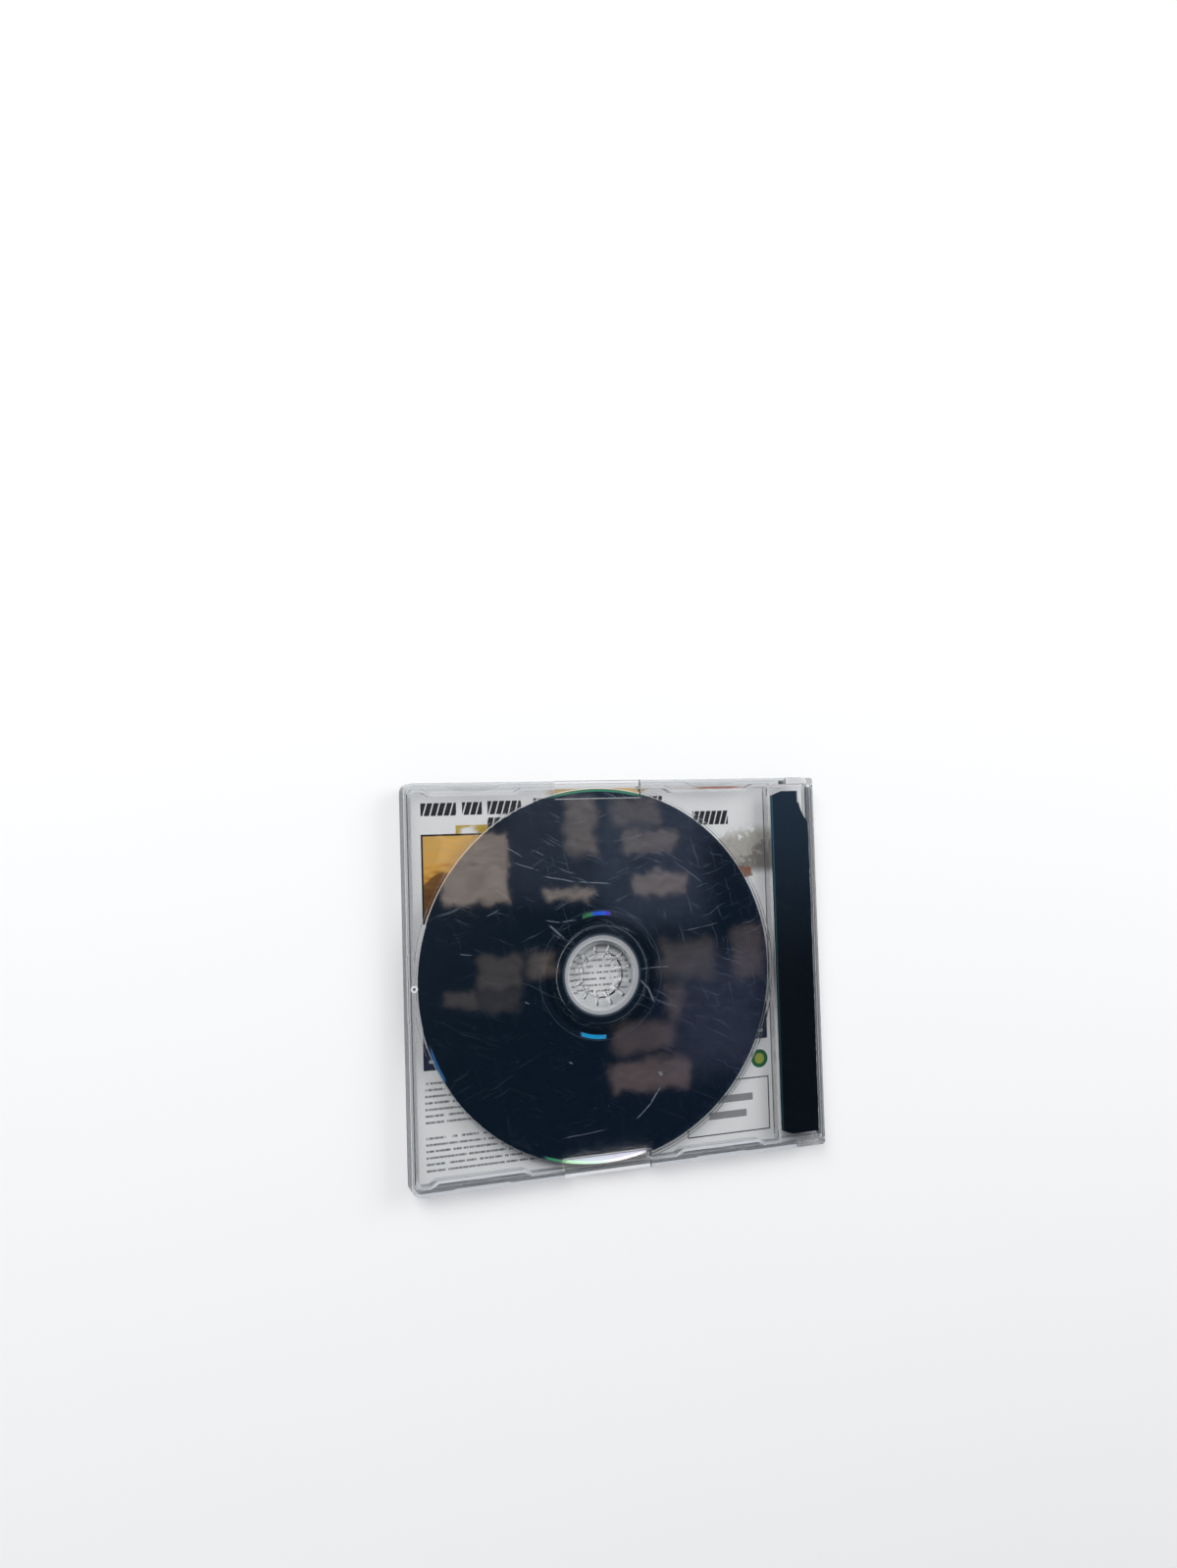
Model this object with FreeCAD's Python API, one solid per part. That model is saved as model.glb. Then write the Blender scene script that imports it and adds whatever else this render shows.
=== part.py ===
import FreeCAD, Part
import math
import os

from FreeCAD import Vector

# Slim two-piece disc case with its disc and folded insert card, in millimetres.
# It lies on its front cover with the clear back uppermost. X runs from the free edge
# to the hinged spine, Y along the spine and Z up. The origin is the middle of the face
# that the case lies on.

# Case
case_length = 142.0
case_width = 125.0
case_depth = 7.0
corner_radius = 3.0
edge_round = 0.3

# Mouldings
lid_plate = 1.2
back_plate = 1.2
lid_wall = 1.0
rib_thickness = 1.0
spine_wall = 1.1
closing_seam = 0.1
rib_foot_gap = 1.2
end_rib_gap = 0.35
side_rib_gap = 1.05

# Hinge
hinge_from_spine = 2.8
swing_gap = 0.2
pin_radius = 0.75
pin_clearance = 0.05
arm_length = 10.5
arm_thickness = 2.2
arm_corner = 1.1
arm_gap = 0.2
arm_notch_gap = 0.4
grip_grooves = 6
grip_pitch = 0.9
grip_depth = 0.2
grip_width = 0.4

# Half-moon tabs that hold the card in the lid
tab_chord = 18.5
tab_reach = 2.1
tab_thickness = 0.8
tab_gap = 0.3
tab_from_free_edge = 21.9
tab_from_spine = 38.9
jog_margin = 4.2
jog_run = 2.4

# Disc
disc_diameter = 120.0
disc_thickness = 1.2
disc_hole = 15.0
disc_from_free_edge = 63.1
stack_ring_radius = 16.2
stack_ring_width = 0.7
stack_ring_height = 0.12

# Hub that the disc snaps on to
seat_height = 0.85
seat_gap = 0.05
seat_radius = 15.4
hub_clearance = 0.2
hub_lip = 0.25
hub_lip_drop = 0.45
hub_skin = 0.85
hub_cap_radius = 5.4
hub_mouth_radius = 10.2
hub_mouth_rim = 0.4
hub_height = 3.1
tooth_count = 12
tooth_slot = 1.2

# Disc bay
bay_corner = 1.5
bay_ring_gap = 0.4
bay_ring_width = 0.8
bay_ring_height = 0.8
finger_notch_width = 29.4
finger_notch_depth = 5.7
notch_corner = 0.8
thumb_recess_length = 20.5
thumb_recess_depth = 0.4
gate_boss_radius = 1.0
gate_boss_height = 0.8

# Insert card
card_thickness = 0.25
card_height = 120.0
card_from_free_edge = 3.2
card_spine_gap = 0.55
card_fold_radius = 0.4
card_lift = 0.05
flap_height = 115.8
flap_width = 14.55
flap_corner_length = 4.0
flap_corner_rise = 1.5
flap_wall_gap = 0.3
worn_corner_width = 3.75
worn_corner_height = 11.0
worn_corner_bow = 1.1
shelf_thickness = 0.8
shelf_length = 5.0
shelf_width = 2.7
shelf_gap = 0.2

# Places that follow from the sizes above
half_width = case_width / 2
free_x = -case_length / 2
spine_x = case_length / 2
plate_under = case_depth - back_plate
wall_top = plate_under - closing_seam
wall_inner_y = half_width - lid_wall
rib_foot = lid_plate + rib_foot_gap
rib_outer_y = wall_inner_y - side_rib_gap
tab_tip_y = wall_inner_y - tab_reach
jog_outer_y = tab_tip_y - tab_gap
bay_free_x = free_x + lid_wall + end_rib_gap
disc_x = free_x + disc_from_free_edge
disc_top = plate_under - seat_height - seat_gap
disc_bottom = disc_top - disc_thickness
arm_inner_y = half_width - arm_thickness
arm_x = spine_x - arm_length
tray_hinge_y = arm_inner_y - arm_gap
card_spine_x = spine_x - spine_wall - card_spine_gap
flap_x = card_spine_x - flap_width
bay_spine_x = flap_x - flap_wall_gap
flap_top = plate_under - card_lift
tab_places = (free_x + tab_from_free_edge, spine_x - tab_from_spine)

# The hinge stands at the depth where the tray's square outer corner just swings clear of the cover
swing_room = case_depth - lid_plate - swing_gap
hinge_from_back = (swing_room**2 - hinge_from_spine**2) / (2 * swing_room)
hinge_x = spine_x - hinge_from_spine
hinge_z = case_depth - hinge_from_back


def box(x_low, x_high, y_low, y_high, z_low, z_high):
    """A block between two corners."""
    return Part.makeBox(x_high - x_low, y_high - y_low, z_high - z_low, Vector(x_low, y_low, z_low))


def prism(points, z_low, z_high):
    """A flat polygon raised from one height to another."""
    corners = [Vector(x, y, z_low) for x, y in points]
    face = Part.Face(Part.makePolygon(corners + corners[:1]))
    return face.extrude(Vector(0, 0, z_high - z_low))


def both_sides(shape):
    """A shape and its mirror image across the case's middle."""
    return [shape, shape.mirror(Vector(0, 0, 0), Vector(0, 1, 0))]


def round_upright(shape, radius, x, y):
    """Round the upright edge that stands at a place in the plan."""
    picked = []
    for edge in shape.Edges:
        upright = all(abs(v.X - x) < 1e-6 and abs(v.Y - y) < 1e-6 for v in edge.Vertexes)
        if upright:
            picked.append(edge)
    return shape.makeFillet(radius, picked)


def round_rim(shape, radius, z):
    """Round every edge that lies in one level plane."""
    rim = [e for e in shape.Edges if all(abs(v.Z - z) < 1e-6 for v in e.Vertexes)]
    return shape.makeFillet(radius, rim)


def rounded_block(x_high, z_low, z_high, inset):
    """The case's plan up to one X, rounded at the free edge's corners and drawn in by an inset."""
    block = box(free_x + inset, x_high, inset - half_width, half_width - inset, z_low, z_high)
    for y in (half_width - inset, inset - half_width):
        block = round_upright(block, corner_radius - inset, free_x + inset, y)
    return block


def half_moon(x, thickness, top):
    """One tab: a shallow segment of a circle that stands in from a side wall."""
    radius = tab_chord**2 / (8 * tab_reach) + tab_reach / 2
    place = Vector(x, tab_tip_y + radius, top - thickness)
    whole = Part.makeCylinder(radius, thickness, place)
    root_y = wall_inner_y + lid_wall / 2
    keep = box(x - tab_chord, x + tab_chord, tab_tip_y, root_y, top - thickness, top)
    return whole.common(keep)


def hinge_arm():
    """One arm of the lid, with its grip grooves and the pin that points into the case."""
    arm = box(arm_x, spine_x, arm_inner_y, half_width, lid_plate, case_depth)
    arm = round_upright(arm, arm_corner, spine_x, half_width)
    arm = round_rim(arm, edge_round, case_depth)
    for i in range(grip_grooves):
        x = arm_x + (i + 1) * grip_pitch
        groove = box(x, x + grip_width, arm_inner_y, half_width, case_depth - grip_depth, case_depth)
        arm = arm.cut(groove)
    tip_y = tray_hinge_y - rib_thickness
    pin_length = half_width - tip_y
    pin = Part.makeCylinder(pin_radius, pin_length, Vector(hinge_x, tip_y, hinge_z), Vector(0, 1, 0))
    return arm.fuse(pin)


def make_lid():
    """Front cover with three walls, four half-moon tabs and two hinge arms."""
    cover = rounded_block(spine_x, 0, lid_plate, 0)
    for y in (half_width, -half_width):
        cover = round_upright(cover, arm_corner, spine_x, y)
    cover = round_rim(cover, edge_round, 0)
    outside = rounded_block(arm_x, lid_plate, wall_top, 0)
    inside = rounded_block(arm_x, lid_plate, wall_top, lid_wall)
    pieces = [outside.cut(inside)]
    for x in tab_places:
        pieces += both_sides(half_moon(x, tab_thickness, wall_top))
    pieces += both_sides(hinge_arm())
    return cover.multiFuse(pieces).removeSplitter()


def bay_outline():
    """The outer face of the rib round the disc bay, stepping in round each half-moon tab."""
    upper = [(bay_free_x, rib_outer_y - bay_corner), (bay_free_x + bay_corner, rib_outer_y)]
    for x in tab_places:
        flat = tab_chord / 2 + jog_margin
        upper += [
            (x - flat - jog_run, rib_outer_y),
            (x - flat, jog_outer_y),
            (x + flat, jog_outer_y),
            (x + flat + jog_run, rib_outer_y),
        ]
    upper.append((bay_spine_x, rib_outer_y))
    lower = [(x, -y) for x, y in reversed(upper)]
    return upper + lower


def bay_face(inset):
    """The area inside the bay's rib, drawn in by an inset, at the foot of the rib."""
    corners = [Vector(x, y, rib_foot) for x, y in bay_outline()]
    face = Part.Face(Part.makePolygon(corners + corners[:1]))
    return face.makeOffset2D(-inset, 2) if inset else face


def hub():
    """The hub: a funnel with a flat cap, a lip under the disc and slots between its teeth."""
    wall_radius = disc_hole / 2 - hub_clearance
    lip_radius = disc_hole / 2 + hub_lip
    cap_low = disc_top + seat_gap - hub_height
    lip_z = disc_bottom - hub_lip_drop
    neck_radius = wall_radius - hub_skin
    section = [
        (0, cap_low),
        (hub_cap_radius + hub_skin / 2, cap_low),
        (wall_radius, lip_z - hub_lip_drop),
        (lip_radius, lip_z),
        (wall_radius, disc_bottom),
        (wall_radius, disc_top + seat_gap),
        (seat_radius, disc_top + seat_gap),
        (seat_radius, plate_under),
        (hub_mouth_radius, plate_under),
        (hub_mouth_radius, case_depth),
        (neck_radius, disc_top),
        (neck_radius, lip_z),
        (hub_cap_radius, cap_low + hub_skin),
        (0, cap_low + hub_skin),
    ]
    corners = [Vector(disc_x + r, 0, z) for r, z in section]
    face = Part.Face(Part.makePolygon(corners + corners[:1]))
    turned = face.revolve(Vector(disc_x, 0, 0), Vector(0, 0, 1), 360)
    half_slot = tooth_slot / 2
    slot_end = hub_mouth_radius - hub_mouth_rim
    slot = box(hub_cap_radius, slot_end, -half_slot, half_slot, cap_low, case_depth)
    slot.translate(Vector(disc_x, 0, 0))
    slots = []
    for i in range(tooth_count):
        copy = slot.copy()
        copy.rotate(Vector(disc_x, 0, 0), Vector(0, 0, 1), (i + 0.5) * 360 / tooth_count)
        slots.append(copy)
    return turned, slots


def finger_notch():
    """A cut through the back's edge where a finger lifts the disc's rim."""
    notch = box(
        disc_x - finger_notch_width / 2,
        disc_x + finger_notch_width / 2,
        half_width - finger_notch_depth,
        half_width + finger_notch_depth,
        rib_foot,
        case_depth,
    )
    for x in (disc_x - finger_notch_width / 2, disc_x + finger_notch_width / 2):
        notch = round_upright(notch, notch_corner, x, half_width - finger_notch_depth)
    return notch


def pin_socket_rib():
    """The tray's rib beside a hinge arm, with the socket that turns on the arm's pin."""
    inner_y = tray_hinge_y - rib_thickness
    inner_x = bay_spine_x - rib_thickness
    outer_x = spine_x - spine_wall
    rib = box(inner_x, outer_x, inner_y, tray_hinge_y, rib_foot, plate_under)
    place = Vector(hinge_x, inner_y, hinge_z)
    socket = Part.makeCylinder(pin_radius + pin_clearance, rib_thickness, place, Vector(0, 1, 0))
    return rib.cut(socket)


def flap_shelf():
    """A thin corner web under which the card's flap is tucked."""
    top = flap_top - card_thickness - shelf_gap
    corner_x = bay_spine_x
    corner_y = tray_hinge_y - rib_thickness / 2
    inner_y = tray_hinge_y - rib_thickness - shelf_width
    inner_x = bay_spine_x + shelf_length
    points = [
        (corner_x - rib_thickness / 2, corner_y),
        (corner_x - rib_thickness / 2, inner_y),
        (corner_x, inner_y),
        (inner_x, tray_hinge_y - rib_thickness),
        (inner_x, corner_y),
    ]
    return prism(points, top - shelf_thickness, top)


def make_base_tray():
    """Back plate, spine wall, bay rib, pin sockets and the toothed hub, in one moulding."""
    plate = rounded_block(spine_x, plate_under, case_depth, 0)
    arm_notch = box(arm_x - arm_notch_gap, spine_x, tray_hinge_y, half_width, plate_under, case_depth)
    for piece in both_sides(arm_notch) + both_sides(finger_notch()):
        plate = plate.cut(piece)
    half_thumb = thumb_recess_length / 2
    thumb_x = free_x + thumb_recess_depth
    plate = plate.cut(box(free_x, thumb_x, -half_thumb, half_thumb, plate_under, case_depth))
    plate = round_rim(plate, edge_round, case_depth)
    mouth = Part.makeCylinder(hub_mouth_radius, back_plate, Vector(disc_x, 0, plate_under))
    plate = plate.cut(mouth)

    rib_height = Vector(0, 0, plate_under - rib_foot)
    bay_rib = bay_face(0).cut(bay_face(rib_thickness)).extrude(rib_height)
    for piece in both_sides(finger_notch()):
        bay_rib = bay_rib.cut(piece)

    ring_inner = disc_diameter / 2 + bay_ring_gap
    ring_place = Vector(disc_x, 0, plate_under - bay_ring_height)
    ring = Part.makeCylinder(ring_inner + bay_ring_width, bay_ring_height, ring_place)
    ring = ring.cut(Part.makeCylinder(ring_inner, bay_ring_height, ring_place))
    ring = ring.common(bay_face(rib_thickness / 2).extrude(rib_height))
    for piece in both_sides(finger_notch()):
        ring = ring.cut(piece)

    spine_foot = hinge_z - hinge_from_back
    spine = box(spine_x - spine_wall, spine_x, -tray_hinge_y, tray_hinge_y, spine_foot, plate_under)
    boss = Part.makeCylinder(
        gate_boss_radius,
        gate_boss_height,
        Vector(bay_free_x + gate_boss_radius, 0, plate_under - gate_boss_height),
    )
    funnel, slots = hub()
    pieces = [bay_rib, ring, spine, boss, funnel]
    pieces += both_sides(pin_socket_rib())
    pieces += both_sides(flap_shelf())
    tray = plate.multiFuse(pieces)
    tray = tray.cut(Part.makeCompound(slots))
    return tray.removeSplitter()


def make_disc():
    """Disc with its centre hole and the low stacking ring on its reading side."""
    hole = disc_hole / 2
    rim = disc_diameter / 2
    ring_outer = stack_ring_radius + stack_ring_width
    ring_middle = stack_ring_radius + stack_ring_width / 2
    section = [
        (hole, disc_bottom),
        (rim, disc_bottom),
        (rim, disc_top),
        (ring_outer, disc_top),
        (ring_middle, disc_top + stack_ring_height),
        (stack_ring_radius, disc_top),
        (hole, disc_top),
    ]
    corners = [Vector(disc_x + r, 0, z) for r, z in section]
    face = Part.Face(Part.makePolygon(corners + corners[:1]))
    return face.revolve(Vector(disc_x, 0, 0), Vector(0, 0, 1), 360)


def make_insert_card():
    """Card folded into a J: front panel on the cover, spine, and flap under the clear back."""
    edge_x = free_x + card_from_free_edge
    panel_top = lid_plate + card_thickness
    half_card = card_height / 2
    half_flap = flap_height / 2
    panel = box(edge_x, card_spine_x, -half_card, half_card, lid_plate, panel_top)

    outer = box(flap_x, card_spine_x, -half_flap, half_flap, lid_plate, flap_top)
    inner_x = card_spine_x - card_thickness
    hollow = box(flap_x, inner_x, -half_flap, half_flap, panel_top, flap_top - card_thickness)
    sleeve = outer.cut(hollow)
    top_fold = [
        e
        for e in sleeve.Edges
        if all(abs(v.X - card_spine_x) < 1e-6 and abs(v.Z - flap_top) < 1e-6 for v in e.Vertexes)
    ]
    sleeve = sleeve.makeFillet(card_fold_radius, top_fold)

    flap_low = flap_top - card_thickness
    corner = [
        (flap_x, half_flap),
        (flap_x + flap_corner_length, half_flap),
        (flap_x, half_flap - flap_corner_rise),
    ]
    for piece in both_sides(prism(corner, flap_low, flap_top)):
        sleeve = sleeve.cut(piece)

    # the worn corner of the flap at the top of the spine, eaten away along a shallow curve
    start = Vector(inner_x - worn_corner_width, half_flap, flap_low)
    end = Vector(inner_x, half_flap - worn_corner_height, flap_low)
    chord = end.sub(start)
    across = Vector(-chord.y, chord.x, 0).normalize()
    middle = start.add(chord * 0.5).add(across * -worn_corner_bow)
    curve = Part.Arc(start, middle, end).toShape()
    back = Part.makePolygon([end, Vector(inner_x, half_flap, flap_low), start])
    worn = Part.Face(Part.Wire([curve] + back.Edges)).extrude(Vector(0, 0, card_thickness))
    sleeve = sleeve.cut(worn)
    return panel.fuse(sleeve).removeSplitter()


os.makedirs("parts", exist_ok=True)
for name, shape in (
    ("lid", make_lid()),
    ("base_tray", make_base_tray()),
    ("disc", make_disc()),
    ("insert_card", make_insert_card()),
):
    print(name, len(shape.Solids), "solid", shape.isValid(), round(shape.Volume, 1), "mm3")
    shape.Solids[0].exportStep("parts/" + name + ".step")
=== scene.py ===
import math

import bmesh
import bpy
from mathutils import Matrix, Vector


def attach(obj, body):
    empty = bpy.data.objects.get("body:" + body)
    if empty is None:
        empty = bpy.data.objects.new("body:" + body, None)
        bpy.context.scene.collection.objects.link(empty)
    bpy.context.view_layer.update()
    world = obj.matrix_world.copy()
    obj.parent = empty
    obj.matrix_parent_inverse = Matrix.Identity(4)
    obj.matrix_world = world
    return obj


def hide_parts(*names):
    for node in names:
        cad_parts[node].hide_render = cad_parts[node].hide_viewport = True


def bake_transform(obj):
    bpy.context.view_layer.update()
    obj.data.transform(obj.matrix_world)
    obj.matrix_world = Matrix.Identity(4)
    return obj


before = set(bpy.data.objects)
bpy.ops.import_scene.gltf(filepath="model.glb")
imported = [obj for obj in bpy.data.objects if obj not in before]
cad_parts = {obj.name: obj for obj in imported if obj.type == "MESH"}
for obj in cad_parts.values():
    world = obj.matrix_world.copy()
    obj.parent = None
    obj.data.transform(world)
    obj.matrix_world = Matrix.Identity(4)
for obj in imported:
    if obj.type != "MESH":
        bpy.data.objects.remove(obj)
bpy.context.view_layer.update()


# Lid: the front cover of the case, one clear polystyrene moulding with low side walls,
# card tabs and hinge arms. It keeps its imported solid, and shelf wear has left hairline
# scuffs on its flat face and a duller bloom along its edges. Its upright walls carry
# painted shade, and its rounded edges and wall tops carry painted highlights.
class Wire:
    """One output of a shader node, on which plain operators add Math nodes."""

    def __init__(self, tree, socket=None):
        self.tree = tree
        self.socket = socket

    def node(self, kind, settings=None, inputs=None, output=0):
        made = self.tree.nodes.new("ShaderNode" + kind)
        for name, value in (settings or {}).items():
            if name == "stops":
                ramp = made.color_ramp.elements
                while len(ramp) < len(value):
                    ramp.new(0.5)
                for element, (position, colour) in zip(ramp, value):
                    element.position = position
                    element.color = colour
            else:
                setattr(made, name, value)
        for name, value in (inputs or {}).items():
            if isinstance(value, Wire):
                self.tree.links.new(value.socket, made.inputs[name])
            else:
                made.inputs[name].default_value = value
        return Wire(self.tree, made.outputs[output] if made.outputs else None)

    def maths(self, operation, first, second):
        return self.node("Math", {"operation": operation}, {0: first, 1: second})

    def __add__(self, other):
        return self.maths("ADD", self, other)

    __radd__ = __add__

    def __sub__(self, other):
        return self.maths("SUBTRACT", self, other)

    def __rsub__(self, other):
        return self.maths("SUBTRACT", other, self)

    def __mul__(self, other):
        return self.maths("MULTIPLY", self, other)

    __rmul__ = __mul__

    def __truediv__(self, other):
        return self.maths("DIVIDE", self, other)

    def __gt__(self, other):
        return self.maths("GREATER_THAN", self, other)

    def __lt__(self, other):
        return self.maths("LESS_THAN", self, other)


def new_material(name):
    material = bpy.data.materials.new(name)
    material.use_nodes = True
    material.node_tree.nodes.clear()
    return material, Wire(material.node_tree)


def soft_step(value, low, high):
    """0 below low and 1 above high, with a smooth rise between."""
    ends = {"Value": value, "From Min": low, "From Max": high}
    return value.node("MapRange", {"interpolation_type": "SMOOTHSTEP"}, ends)


def span(value, rise, full, towards_top, end):
    """1 between full and fade, with a smooth rise before and a smooth fall after."""
    return soft_step(value, rise, full) * (1 - soft_step(value, towards_top, end))


def larger(first, *others):
    """The largest of several masks."""
    for other in others:
        first = first.maths("MAXIMUM", first, other)
    return first


def size_of(value):
    return value.node("Math", {"operation": "ABSOLUTE"}, {0: value})


def part_of(vector, axis):
    return vector.node("SeparateXYZ", {}, {0: vector}, axis)


def noise_at(place, scale, detail, output=0):
    where = {"Vector": place, "Scale": scale, "Detail": detail}
    return place.node("TexNoise", {}, where, output)


def paint(mask, below, above):
    """Colour above where the mask is 1, over colour below."""
    return mask.node("Mix", {"data_type": "RGBA"}, {0: mask, 6: below, 7: above}, 2)


def hairlines(place, turn, length, width, density):
    """Long thin streaks that lie along one direction, in metres."""
    stretch = (1 / length, 1 / width, 1 / length)
    turned = place.node("Mapping", {}, {0: place, 2: (0, 0, turn)})
    streaks = place.node("VectorMath", {"operation": "MULTIPLY"}, {0: turned, 1: stretch})
    noise = noise_at(streaks, 1.0, 1.0)
    return soft_step(noise, 1 - density, 1.06 - density)


def let_light_in(surface, tint):
    """Lets lamps and scattered light straight through a clear piece, as a thin wall does."""
    through = surface.node("BsdfTransparent", {}, {"Color": tint})
    for ray in ("Is Diffuse Ray", "Is Shadow Ray"):
        share = surface.node("LightPath", output=ray)
        surface = surface.node("MixShader", {}, {0: share, 1: surface, 2: through})
    surface.node("OutputMaterial", {}, {"Surface": surface})


def clear_polystyrene(name, tint, wall_shade_tint, half_x, half_y, land_z, land_from, gate=None):
    """Clear moulding with fine scuffs, edges whitened partly by wear and partly by painted
    highlights, painted highlight lines on its lands and notch lip, and painted shade on its
    upright walls, in metres.
    """
    refraction = 1.59
    pale_wear_and_highlight = (0.86, 0.88, 0.90, 1)
    dark_shade_scatter = (0.055, 0.060, 0.070, 1)
    passing_light = (0.88, 0.88, 0.885, 1)
    edge_width = 0.0016
    notch_x = -0.0079
    notch_half = 0.0147
    notch_y = half_y - 0.0057
    notch_soft = 0.0005
    plate_above = 0.0065
    level = 0.0001
    material, wire = new_material(name)
    place = wire.node("TexCoord", output="Object")
    x = part_of(place, "X")
    y = part_of(place, "Y")
    z = part_of(place, "Z")
    far_x = size_of(x)
    far_y = size_of(y)
    edge = larger(
        soft_step(far_x, half_x - edge_width, half_x),
        soft_step(far_y, half_y - edge_width, half_y),
    )
    scuffs = larger(
        hairlines(place, 0.45, 0.016, 0.00028, 0.30),
        hairlines(place, -0.9, 0.024, 0.00034, 0.27),
    )
    haze = noise_at(place, 60.0, 4.0)
    normal = wire.node("TexCoord", output="Normal")

    def faces(axis):
        return soft_step(size_of(part_of(normal, axis)), 0.5, 0.95)

    # Painted shade: the end walls, rib sides and other upright faces get a dark tint and dark
    # scatter, standing in for the shade seen through them. The gate pip added below is a real
    # mark.
    ends = faces("X") * soft_step(far_x, half_x - 0.0035, half_x - 0.0015)
    lower_side = soft_step(0 - y, 0.0, 0.010)
    across = far_y - 0.0012 * lower_side
    ribs = soft_step(across, half_y - 0.0040, half_y - 0.0035)
    from_notch = size_of(x - notch_x)
    notched = 1 - soft_step(from_notch, notch_half - notch_soft, notch_half + notch_soft)
    outer = soft_step(across, half_y - 0.0020, half_y - 0.0016)
    ribs = ribs * (1 - (0.75 - 0.5 * notched) * outer)
    inside = (1 - faces("Z")) * 0.13
    wall_shade_and_gate_pip = larger(ends, 0.8 * ribs * faces("Y"), inside)
    # Painted highlight: rounded outer edges are whitened as if catching the light.
    lean = part_of(normal, "Z")
    rounded_edge_highlight = span(lean, 0.15, 0.40, 0.90, 0.98)
    # Painted highlight: a white line on the rib feet and lid wall tops, stronger on the lower
    # side.
    land_highlight = (far_y > half_y - land_from) * faces("Z")
    land_highlight = land_highlight * (z > land_z - level) * (z < land_z + level)
    # Painted highlight: a thin white line along the finger notch's edge.
    notch_lip_highlight = soft_step(far_y, notch_y - 0.0005, notch_y - 0.0003) * (far_y < notch_y)
    notch_lip_highlight = notch_lip_highlight * (z > plate_above) * notched
    dulled = 0.006 + 0.02 * haze + 0.04 * edge + 0.03 * scuffs
    # Scatter share: edge wear, scuffs and the gate mark, plus painted shade on upright walls and
    # painted highlights on rounded edges, lands and the notch lip.
    worn = 0.02 * edge + 0.012 * scuffs * haze + 0.27 * wall_shade_and_gate_pip + 0.45 * rounded_edge_highlight * edge
    worn = worn + (0.40 + 0.30 * lower_side) * land_highlight + 0.20 * notch_lip_highlight
    if gate:
        away = wire.node("VectorMath", {"operation": "SUBTRACT"}, {0: place, 1: gate})
        away = wire.node("VectorMath", {"operation": "LENGTH"}, {0: away}, "Value") * 1000
        collar = span(away, 0.45, 0.60, 1.00, 1.15)
        pip = 1 - soft_step(away, 0.40, 0.52)
        wall_shade_and_gate_pip = larger(wall_shade_and_gate_pip, pip)
        worn = worn + 0.6 * collar + 0.4 * pip
    plastic = wire.node(
        "BsdfPrincipled",
        {},
        {
            "Base Color": paint(wall_shade_and_gate_pip, tint, wall_shade_tint),
            "Roughness": dulled,
            "IOR": refraction,
            "Transmission Weight": 1.0,
        },
    )
    # The scatter colour is dark painted shade on the upright walls. Elsewhere it is pale, where
    # it is wear and painted highlight.
    wear_highlight_and_shade_tone = paint(wall_shade_and_gate_pip * (1 - rounded_edge_highlight), pale_wear_and_highlight, dark_shade_scatter)
    scatter = wire.node("BsdfDiffuse", {}, {"Color": wear_highlight_and_shade_tone})
    surface = wire.node("MixShader", {}, {0: worn, 1: plastic, 2: scatter})
    let_light_in(surface, passing_light)
    return material


def dress(node, material):
    """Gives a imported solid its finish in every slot."""
    solid = bpy.data.objects[node]
    for slot in solid.material_slots:
        slot.material = material


half_case_x = 0.071
half_case_y = 0.0625
lid_tint = (0.965, 0.972, 0.972, 1)
# Painted shade: the dark tint given to the case's upright walls.
wall_shade_tint = (0.36, 0.38, 0.41, 1)
lid_wall_top = 0.0057
lid_wall = 0.0013
# The lid's wall tops get a painted highlight line, and its upright walls get painted shade.
lid_plastic = clear_polystyrene(
    "lid_plastic", lid_tint, wall_shade_tint, half_case_x, half_case_y, lid_wall_top, lid_wall
)
dress("lid", lid_plastic)


# Tray: the clear back of the case, one polystyrene moulding with the disc's bay, the
# toothed hub it snaps on, and the spine wall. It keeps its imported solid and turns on
# the pins of the lid's arms.
tray_tint = (0.955, 0.965, 0.970, 1)
rib_foot = 0.0024
rib_zone = 0.0045
gate_mark = (-0.0690, 0, 0.007)
# The tray gets painted shade on its upright walls and painted highlight lines on its rib feet,
# edges and notch lip.
tray_plastic = clear_polystyrene(
    "tray_plastic", tray_tint, wall_shade_tint, half_case_x, half_case_y, rib_foot, rib_zone, gate_mark
)
dress("base_tray", tray_plastic)


# Disc: 1.2 mm of clear polycarbonate with a dark navy mirror layer under its upper face
# and a printed label under its lower face. It is moulded with a thin stacking ring, and
# it snaps over the hub by its 15 mm hole.
disc_x = -0.0079
disc_top = 0.0049
disc_under = 0.0037
bore_radius = 0.0075
mirror_start = 0.0126
mirror_end = 0.0597
label_start = 0.0115
label_end = 0.0590
mirror_loops = (0.030, 0.045)
label_loops = (0.040, 0.024)
rim_radius = 0.060
edge_break = 0.00012
ring_inner = 0.0162
ring_outer = 0.0169
ring_rise = 0.00012
disc_steps = 240
disc_refraction = 1.58


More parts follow.
